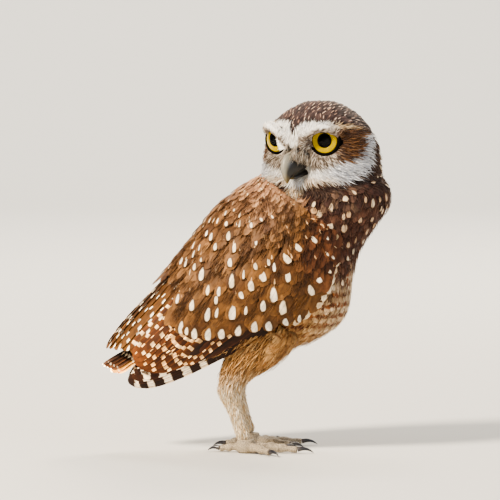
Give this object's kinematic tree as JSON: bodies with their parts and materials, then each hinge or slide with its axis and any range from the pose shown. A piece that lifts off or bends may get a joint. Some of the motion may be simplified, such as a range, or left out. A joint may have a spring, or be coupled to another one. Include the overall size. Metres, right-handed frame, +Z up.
{
  "type": "burrowing owl",
  "caption": "Life-size still model of a burrowing owl standing with folded wings, head turned back over its shoulder.",
  "frame": {"origin": "middle of the bounding box, on the floor under the bird", "axes": "+Z up; +X is the way the body and feet point; +Y is the bird's left side. The head looks back towards -Y and a little towards -X"},
  "size_m": [0.1756, 0.0956, 0.2105],
  "materials": {
    "body_feathers": "soft matt contour feathers, warm brown with cream spots, belly cream with rusty bars",
    "head_feathers": "short matt feathers, grey-brown crown with pale flecks, white brows and ruff",
    "wing_feathers": "stiff overlapping vanes, rich brown with cream drops, buff notches and pale edges",
    "tail_feathers": "stiff dark brown vanes with buff bars and white tips",
    "leg_feathers": "short hair-like peach and cream feathers",
    "eye": "wet clear cornea over a yellow iris and black pupil",
    "beak_horn": "smooth grey-olive horn with a pale ridge",
    "toe_skin": "dry grey scaly skin",
    "claw_horn": "polished blue-black horn"
  },
  "bodies": {
    "root": {"beak_lower": "beak_horn", "beak_upper": "beak_horn", "claw_left_back": "claw_horn", "claw_left_inner": "claw_horn", "claw_left_middle": "claw_horn", "claw_left_outer": "claw_horn", "claw_right_back": "claw_horn", "claw_right_inner": "claw_horn", "claw_right_middle": "claw_horn", "claw_right_outer": "claw_horn", "eye_left": "eye", "eye_right": "eye", "foot_left": "toe_skin", "foot_right": "toe_skin", "head": "head_feathers", "neck": "body_feathers", "tail": "tail_feathers", "tarsus_left": "leg_feathers", "tarsus_right": "leg_feathers", "thigh_left": "leg_feathers", "thigh_right": "leg_feathers", "toe_left_back": "toe_skin", "toe_left_inner": "toe_skin", "toe_left_middle": "toe_skin", "toe_left_outer": "toe_skin", "toe_right_back": "toe_skin", "toe_right_inner": "toe_skin", "toe_right_middle": "toe_skin", "toe_right_outer": "toe_skin", "torso": "body_feathers", "wing_left": "wing_feathers", "wing_right": "wing_feathers"}
  },
  "joints": []
}
